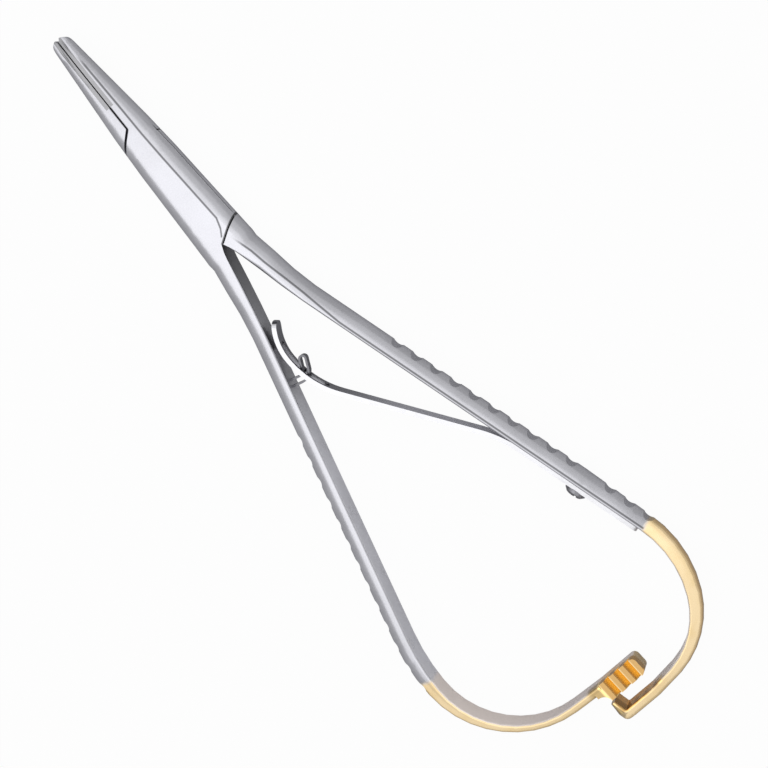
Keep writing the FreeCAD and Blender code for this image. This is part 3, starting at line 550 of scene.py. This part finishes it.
satin_grain = make_satin_grain()
gold_plating = make_plating()
tail_crown = make_tail_crown()
rack_light_and_shade = make_rack_light_and_shade()
seam_shade = make_seam_shade()
box_crease = make_crease("box_crease", BOX_CREASE)
handle_crease = make_crease("handle_crease", HANDLE_CREASE)


# Materials

def new_metal(name):
    """A metal with its shader, its Object coordinates and its output."""
    metal = bpy.data.materials.new(name)
    metal.use_nodes = True
    tree = metal.node_tree
    tree.nodes.clear()
    shader = tree.nodes.new("ShaderNodeBsdfPrincipled")
    shader.inputs["Metallic"].default_value = 1.0
    shader.inputs["Specular Tint"].default_value = EDGE_TINT
    out = tree.nodes.new("ShaderNodeOutputMaterial")
    tree.links.new(shader.outputs["BSDF"], out.inputs["Surface"])
    place = tree.nodes.new("ShaderNodeTexCoord").outputs["Object"]
    return metal, tree, shader, place


def use(tree, group, place):
    """A shared group placed in a material, at its coordinates."""
    node = tree.nodes.new("ShaderNodeGroup")
    node.node_tree = group
    tree.links.new(place, node.inputs["Place"])
    return node


def grained(tree, place, tone, roughness):
    """The satin grain over a tone, which is a colour or a socket."""
    grain = use(tree, satin_grain, place)
    if isinstance(tone, tuple):
        grain.inputs["Tone"].default_value = (*tone, 1.0)
    else:
        tree.links.new(tone, grain.inputs["Tone"])
    grain.inputs["Roughness"].default_value = roughness
    return grain


def relief(tree, height, distance, strength, under=None):
    """A height turned into a normal, over another normal where one is given."""
    bump = tree.nodes.new("ShaderNodeBump")
    bump.inputs["Strength"].default_value = strength
    bump.inputs["Distance"].default_value = distance
    tree.links.new(height, bump.inputs["Height"])
    if under is not None:
        tree.links.new(under, bump.inputs["Normal"])
    return bump.outputs["Normal"]


def finish(tree, shader, grain, normal):
    """Gives a shader the grain's tone and roughness, and a normal."""
    tree.links.new(grain.outputs["Tone"], shader.inputs["Base Color"])
    tree.links.new(grain.outputs["Roughness"], shader.inputs["Roughness"])
    tree.links.new(normal, shader.inputs["Normal"])


def branch_steel(name, heading, begins, crease, inner=False):
    """Satin steel of one branch, plated with gold past a line across its handle."""
    metal, tree, shader, place = new_metal(name)
    tone = STEEL
    # The inner faces get painted shade: dark near the box, lighter further along.
    if inner:
        along = vectors(tree, "DOT_PRODUCT", place, (0.0, -1.0, 0.0))
        tone = mixed(tree, edge(tree, along, INNER_SHADE_FADE), SHADED_INNER_STEEL, LIT_INNER_STEEL)
    grain = grained(tree, place, tone, SATIN)
    lined = use(tree, crease, place)
    tree.links.new(grain.outputs["Tone"], lined.inputs["Tone"])
    seams = use(tree, seam_shade, place)
    tree.links.new(lined.outputs["Tone"], seams.inputs["Tone"])
    plating = use(tree, gold_plating, place)
    plating.inputs["Heading"].default_value = heading
    plating.inputs["Begins"].default_value = begins
    surface = tree.nodes.new("ShaderNodeNewGeometry").outputs["Normal"]
    tree.links.new(surface, plating.inputs["Normal"])
    tree.links.new(seams.outputs["Tone"], plating.inputs["Steel"])
    # Painted light and shade on the rack's teeth.
    teeth_light_and_shade = use(tree, rack_light_and_shade, place)
    tree.links.new(plating.outputs["Tone"], teeth_light_and_shade.inputs["Tone"])
    tree.links.new(teeth_light_and_shade.outputs["Tone"], shader.inputs["Base Color"])
    mask = plating.outputs["Mask"]
    gloss = maths(tree, "MULTIPLY_ADD", mask, -PLATING_GLOSS, grain.outputs["Roughness"])
    tree.links.new(gloss, shader.inputs["Roughness"])
    crown = use(tree, tail_crown, place)
    tree.links.new(mask, crown.inputs["Mask"])
    tree.links.new(relief(tree, lined.outputs["Fall"], 1.0, 1.0), crown.inputs["Normal"])
    normal = relief(tree, grain.outputs["Height"], *SATIN_RELIEF, crown.outputs["Normal"])
    tree.links.new(normal, shader.inputs["Normal"])
    return metal


def pin_steel():
    """The same satin steel, without plating, for the pin whose ends are ground flush with the box."""
    metal, tree, shader, place = new_metal("pin_steel")
    grain = grained(tree, place, STEEL, SATIN)
    finish(tree, shader, grain, relief(tree, grain.outputs["Height"], *SATIN_RELIEF))
    return metal


def sintered_carbide():
    """Darker sintered carbide with a close grain."""
    metal, tree, shader, place = new_metal("carbide")
    grain = grained(tree, place, CARBIDE, CARBIDE_ROUGHNESS)
    finish(tree, shader, grain, relief(tree, grain.outputs["Height"], *CARBIDE_RELIEF))
    return metal


def rolled_spring(name, tone, far_tone):
    """Rolled spring steel: its tone changes along the leaf, and fine lines run with it."""
    metal, tree, shader, place = new_metal(name)
    along = vectors(tree, "DOT_PRODUCT", place, (0.0, -1.0, 0.0))
    paler = mixed(tree, edge(tree, along, LEAF_FADE), tone, far_tone)
    grain = grained(tree, place, paler, SPRING_ROUGHNESS)
    lines = noise(tree, stretched(tree, place, LEAF_LINES, ROLLING_STRETCH), *ROLLING)
    finish(tree, shader, grain, relief(tree, lines, *SPRING_RELIEF))
    return metal


def turned_screw():
    """Turned steel, with fine rings along the screw's own axis."""
    metal, tree, shader, place = new_metal("screw_steel")
    grain = grained(tree, place, SPRING_STEEL, SCREW_ROUGHNESS)
    along = vectors(tree, "DOT_PRODUCT", place, SCREW_AXIS)
    rings = maths(tree, "SINE", maths(tree, "MULTIPLY", along, SCREW_RINGS))
    finish(tree, shader, grain, relief(tree, rings, *SCREW_RELIEF))
    return metal


def guide_strip():
    """Dark drawn strip of the small guide."""
    metal, tree, shader, place = new_metal("guide_steel")
    grain = grained(tree, place, GUIDE_STEEL, GUIDE_ROUGHNESS)
    finish(tree, shader, grain, relief(tree, grain.outputs["Height"], *GUIDE_RELIEF))
    return metal


left_heading = Vector((-math.sin(LEFT_ANGLE), -math.cos(LEFT_ANGLE), 0.0))
right_heading = Vector((math.sin(RIGHT_ANGLE), -math.cos(RIGHT_ANGLE), 0.0))
box_metal = branch_steel("satin_steel", left_heading, LEFT_PLATING, box_crease)
box_shaded_inner_metal = branch_steel("satin_steel_inner_painted_shade", left_heading, LEFT_PLATING, box_crease, inner=True)
tongue_metal = branch_steel("satin_steel_tongue", right_heading, RIGHT_PLATING, handle_crease)
tongue_shaded_inner_metal = branch_steel(
    "satin_steel_tongue_inner_painted_shade", right_heading, RIGHT_PLATING, handle_crease, inner=True)
pin_metal = pin_steel()
carbide_metal = sintered_carbide()
spring_metal = rolled_spring("spring_steel", SPRING_STEEL, SPRING_STEEL_FAR)
spring_edge_highlight_metal = rolled_spring("spring_steel_edge_painted_highlight", SPRING_EDGE_HIGHLIGHT, SPRING_EDGE_HIGHLIGHT)
screw_metal = turned_screw()
guide_metal = guide_strip()


# Pieces

def merged_copy(node, name, metal):
    """A copy of a CAD node with its triangles joined and its curved faces shaded smooth."""
    mesh = nodes[node].data.copy()
    mesh.name = name
    work = bmesh.new()
    work.from_mesh(mesh)
    bmesh.ops.remove_doubles(work, verts=work.verts, dist=MERGE_DISTANCE)
    bmesh.ops.dissolve_degenerate(work, edges=work.edges, dist=SLIVER_LENGTH)
    for face in work.faces:
        face.smooth = True
    work.to_mesh(mesh)
    work.free()
    if "custom_normal" in mesh.attributes:
        mesh.attributes.remove(mesh.attributes["custom_normal"])
    mesh.set_sharp_from_angle(angle=SHARP_ANGLE)
    mesh.materials.clear()
    mesh.materials.append(metal)
    piece = bpy.data.objects.new(name, mesh)
    bpy.context.scene.collection.objects.link(piece)
    shading = piece.modifiers.new("even_shading", "WEIGHTED_NORMAL")
    shading.keep_sharp = True
    shading.weight = SHADING_WEIGHT
    return piece


def paint_inner_face_shade(piece, metal, inward):
    """Gives the flat inner face of a handle its material of painted shade, dark near the box and lighter
    further on.
    """
    piece.data.materials.append(metal)
    for face in piece.data.polygons:
        if face.center.y < HANDLE_START and face.normal.dot(inward) > INNER_FACING:
            face.material_index = 1


def paint_edge_highlight(piece, metal):
    """Gives the front and rear edges of the leaf a brighter tone: a painted highlight where light falls on
    them.
    """
    piece.data.materials.append(metal)
    for face in piece.data.polygons:
        level = abs(face.center.z - PIVOT.z)
        if abs(face.normal.z) > LEAF_EDGE_FACING and level > LEAF_EDGE:
            face.material_index = 1


def round_tip(piece):
    """Thins a jaw's tip towards its middle plane, so that it ends in a dome."""
    for vertex in piece.data.vertices:
        past = (vertex.co.y - TIP_START) / TIP_LENGTH
        if past <= 0.0:
            continue
        keep = math.sqrt(max(0.0, 1.0 - past * past))
        vertex.co.z = PIVOT.z + (vertex.co.z - PIVOT.z) * keep


def make_hatch_tree():
    """A field of small four-sided pyramids: length, height, pitch and relief are its inputs."""
    tree = bpy.data.node_groups.new("cross_hatch", "GeometryNodeTree")
    for label in ("Length", "Height", "Pitch", "Relief"):
        tree.interface.new_socket(name=label, in_out="INPUT", socket_type="NodeSocketFloat")
    tree.interface.new_socket(name="Metal", in_out="INPUT", socket_type="NodeSocketMaterial")
    tree.interface.new_socket(name="Geometry", in_out="OUTPUT", socket_type="NodeSocketGeometry")
    start = tree.nodes.new("NodeGroupInput")
    end = tree.nodes.new("NodeGroupOutput")
    grid = tree.nodes.new("GeometryNodeMeshGrid")
    for label, axis in (("Length", "X"), ("Height", "Y")):
        tree.links.new(start.outputs[label], grid.inputs["Size " + axis])
        rows = maths(tree, "ADD", maths(tree, "DIVIDE", start.outputs[label], start.outputs["Pitch"]), 1.0)
        tree.links.new(maths(tree, "ROUND", rows), grid.inputs["Vertices " + axis])
    pyramid = tree.nodes.new("GeometryNodeMeshCone")
    pyramid.inputs["Vertices"].default_value = 4
    pyramid.inputs["Radius Top"].default_value = 0.0
    radius = maths(tree, "MULTIPLY", start.outputs["Pitch"], math.sqrt(0.5))
    tree.links.new(radius, pyramid.inputs["Radius Bottom"])
    tree.links.new(start.outputs["Relief"], pyramid.inputs["Depth"])
    spread = tree.nodes.new("GeometryNodeInstanceOnPoints")
    tree.links.new(grid.outputs["Mesh"], spread.inputs["Points"])
    tree.links.new(pyramid.outputs["Mesh"], spread.inputs["Instance"])
    spread.inputs["Rotation"].default_value = (0.0, 0.0, math.radians(45.0))
    real = tree.nodes.new("GeometryNodeRealizeInstances")
    tree.links.new(spread.outputs["Instances"], real.inputs["Geometry"])
    metal = tree.nodes.new("GeometryNodeSetMaterial")
    tree.links.new(real.outputs["Geometry"], metal.inputs["Geometry"])
    tree.links.new(start.outputs["Metal"], metal.inputs["Material"])
    tree.links.new(metal.outputs["Geometry"], end.inputs["Geometry"])
    return tree


def hatch_insert(name, tree, side, body):
    """The cross-hatched relief on one insert's gripping face."""
    holder = bpy.data.objects.new(name, bpy.data.meshes.new(name + "_start"))
    bpy.context.scene.collection.objects.link(holder)
    field = holder.modifiers.new("cross_hatch", "NODES")
    field.node_group = tree
    values = {
        "Length": HATCH_LENGTH, "Height": HATCH_HEIGHT, "Pitch": HATCH_PITCH,
        "Relief": HATCH_RELIEF + HATCH_SINK, "Metal": carbide_metal,
    }
    for item in tree.interface.items_tree:
        if item.in_out == "INPUT":
            field[item.identifier] = values[item.name]
    bpy.context.view_layer.update()
    shown = holder.evaluated_get(bpy.context.evaluated_depsgraph_get())
    mesh = bpy.data.meshes.new_from_object(shown)
    mesh.name = name
    holder.modifiers.clear()
    holder.data = mesh
    outward = Vector((-side, 0.0, 0.0))
    along = Vector((0.0, 1.0, 0.0))
    turn = Matrix((along, outward.cross(along), outward)).transposed()
    middle = Vector((side * (GRIP_PLANE + HATCH_SINK), HATCH_REAR + HATCH_LENGTH / 2, PIVOT.z))
    mesh.transform(Matrix.Translation(middle) @ turn.to_4x4())
    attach(holder, body)
    return holder


def cut_across(piece, spacing):
    """Edge loops across the leaf, evenly spaced along it."""
    work = bmesh.new()
    work.from_mesh(piece.data)
    low = min(vertex.co.y for vertex in work.verts)
    high = max(vertex.co.y for vertex in work.verts)
    count = int((high - low) / spacing)
    for step in range(1, count):
        level = low + step * (high - low) / count
        bmesh.ops.bisect_plane(
            work, geom=work.verts[:] + work.edges[:] + work.faces[:], dist=CUT_DISTANCE,
            plane_co=Vector((0.0, level, 0.0)), plane_no=Vector((0.0, 1.0, 0.0)),
        )
    bmesh.ops.triangulate(work, faces=[face for face in work.faces if len(face.verts) > 4])
    work.to_mesh(piece.data)
    work.free()


def dress(node, name, metal, body):
    """A smooth copy of one CAD node in its own metal, riding where the node rides."""
    piece = merged_copy(node, name, metal)
    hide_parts(node)
    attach(piece, body)
    return piece


aim_camera()
box_piece = dress("box_branch", "box_branch_satin", box_metal, "box_half")
left_inward = Vector((math.cos(LEFT_ANGLE), -math.sin(LEFT_ANGLE), 0.0))
paint_inner_face_shade(box_piece, box_shaded_inner_metal, left_inward)
tongue_piece = dress(
    "tongue_branch", "tongue_branch_satin", tongue_metal, "tongue_half")
right_inward = Vector((-math.cos(RIGHT_ANGLE), -math.sin(RIGHT_ANGLE), 0.0))
paint_inner_face_shade(tongue_piece, tongue_shaded_inner_metal, right_inward)
dress("pivot_pin", "pivot_pin_flush", pin_metal, "box_half")
right_piece = dress("right_insert", "right_insert_carbide", carbide_metal, "box_half")
left_piece = dress("left_insert", "left_insert_carbide", carbide_metal, "tongue_half")
for jaw in (box_piece, tongue_piece, right_piece, left_piece):
    round_tip(jaw)
cross_hatch = make_hatch_tree()
hatch_insert("right_insert_hatch", cross_hatch, 1, "box_half")
hatch_insert("left_insert_hatch", cross_hatch, -1, "tongue_half")
dress("spring_screw", "spring_screw_turned", screw_metal, "tongue_half")
dress("spring_guide", "spring_guide_wire", guide_metal, "box_half")
leaf = merged_copy("leaf_spring", "leaf_spring_rolled", spring_metal)
cut_across(leaf, LEAF_CUTS)
paint_edge_highlight(leaf, spring_edge_highlight_metal)
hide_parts("leaf_spring")
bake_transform(leaf)


# Floor, world and lamps

def bright_to_camera(tree, shown, hidden, to_camera, to_metal):
    """Shows one shader by a share to the camera and by another to mirrored rays, over a second shader."""
    path = tree.nodes.new("ShaderNodeLightPath")
    mirrored = maths(tree, "MAXIMUM", path.outputs["Is Glossy Ray"], path.outputs["Is Transmission Ray"])
    direct = maths(tree, "MULTIPLY", path.outputs["Is Camera Ray"], to_camera)
    seen = maths(tree, "MAXIMUM", direct, maths(tree, "MULTIPLY", mirrored, to_metal))
    mix = tree.nodes.new("ShaderNodeMixShader")
    tree.links.new(seen, mix.inputs["Fac"])
    tree.links.new(hidden, mix.inputs[1])
    tree.links.new(shown, mix.inputs[2])
    return mix.outputs["Shader"]


def lay_floor():
    """A plain pale floor under the pliers."""
    mesh = bpy.data.meshes.new("floor")
    signs = ((-1, -1), (1, -1), (1, 1), (-1, 1))
    corners = [(x * FLOOR_HALF, y * FLOOR_HALF, FLOOR_LEVEL) for x, y in signs]
    mesh.from_pydata(corners, [], [(0, 1, 2, 3)])
    floor = bpy.data.objects.new("floor", mesh)
    bpy.context.scene.collection.objects.link(floor)
    paper = bpy.data.materials.new("pale_floor")
    paper.use_nodes = True
    tree = paper.node_tree
    tree.nodes.clear()
    out = tree.nodes.new("ShaderNodeOutputMaterial")
    soft = tree.nodes.new("ShaderNodeBsdfDiffuse")
    soft.inputs["Color"].default_value = FLOOR_TONE
    glow = tree.nodes.new("ShaderNodeEmission")
    glow.inputs["Color"].default_value = WHITE
    glow.inputs["Strength"].default_value = 1.0
    surface = bright_to_camera(
        tree, glow.outputs["Emission"], soft.outputs["BSDF"], FLOOR_TO_CAMERA, FLOOR_TO_METAL)
    tree.links.new(surface, out.inputs["Surface"])
    mesh.materials.append(paper)


def background(tree, tone, strength):
    """One background of the room."""
    node = tree.nodes.new("ShaderNodeBackground")
    node.inputs["Color"].default_value = tone
    node.inputs["Strength"].default_value = strength
    return node.outputs["Background"]


def light_world():
    """A room that is white to the camera, brighter on the right to the metal, and grey to all else."""
    world = bpy.data.worlds.new("pale_room")
    bpy.context.scene.world = world
    world.use_nodes = True
    tree = world.node_tree
    tree.nodes.clear()
    out = tree.nodes.new("ShaderNodeOutputWorld")
    white = background(tree, WHITE, 1.0)
    grey = background(tree, ROOM_GREY, ROOM_STRENGTH)
    direction = tree.nodes.new("ShaderNodeTexCoord").outputs["Generated"]
    rightward = vectors(tree, "DOT_PRODUCT", direction, (1.0, 0.0, 0.0))
    to_metal = band(tree, rightward, -1.0, 1.0, *ROOM_TO_METAL, smooth=False)
    tree.links.new(bright_to_camera(tree, white, grey, 1.0, to_metal), out.inputs["Surface"])


def hang_lamp(name, place, target, width, depth, power):
    """One large soft lamp aimed at a point."""
    data = bpy.data.lights.new(name, "AREA")
    data.shape = "RECTANGLE"
    data.size = width
    data.size_y = depth
    data.energy = power
    lamp = bpy.data.objects.new(name, data)
    lamp.location = place
    lamp.rotation_euler = (Vector(place) - Vector(target)).to_track_quat("Z", "Y").to_euler()
    bpy.context.scene.collection.objects.link(lamp)


lay_floor()
light_world()
for lamp_name, lamp_values in LAMPS.items():
    hang_lamp(lamp_name, *lamp_values)
